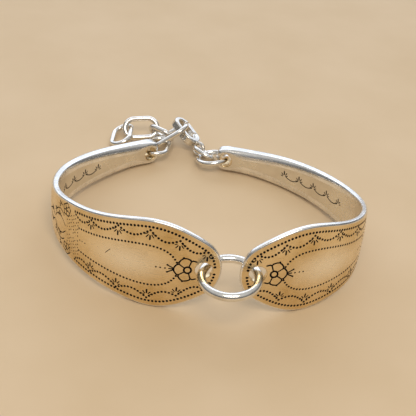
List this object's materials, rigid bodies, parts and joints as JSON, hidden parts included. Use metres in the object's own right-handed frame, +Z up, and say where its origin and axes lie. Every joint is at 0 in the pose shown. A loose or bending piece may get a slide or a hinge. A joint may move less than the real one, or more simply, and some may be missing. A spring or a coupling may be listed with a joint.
{
  "type": "spoon handle bracelet",
  "caption": "Bracelet of two engraved silver-plated spoon handles bent round the wrist, joined by a front ring, with an extender chain and a lobster clasp.",
  "frame": {"origin": "under the middle of the bracelet's box, on the surface that it lies on", "axes": "+Z up, through the loop that the wrist goes in; -Y toward the paddle tips and the front ring; +X toward the right handle as seen from the front"},
  "size_m": [0.0656, 0.0685, 0.0189],
  "materials": {
    "handle": "worn silver plate, polished",
    "ring": "polished wire",
    "chain": "polished wire",
    "clasp": "polished casting"
  },
  "bodies": {
    "bracelet": {"left_handle": "handle", "right_handle": "handle", "front_ring": "ring", "left_stem_link": "chain", "right_stem_ring": "chain", "chain_link_1": "chain", "chain_link_2": "chain", "chain_link_3": "chain", "chain_link_4": "chain", "clasp_body": "clasp", "clasp_link": "chain"},
    "lever": {"clasp_lever": "clasp"}
  },
  "joints": [
    {"name": "clasp_lever", "type": "hinge", "parent": "bracelet", "child": "lever", "pos_m": [-0.00472, 0.02998, 0.00227], "axis": [0.5332, 0.0481, 0.8446], "range_deg": [0, 14], "stiffness_Nm_per_rad": 0.0005, "springref_deg": -5.73}
  ]
}
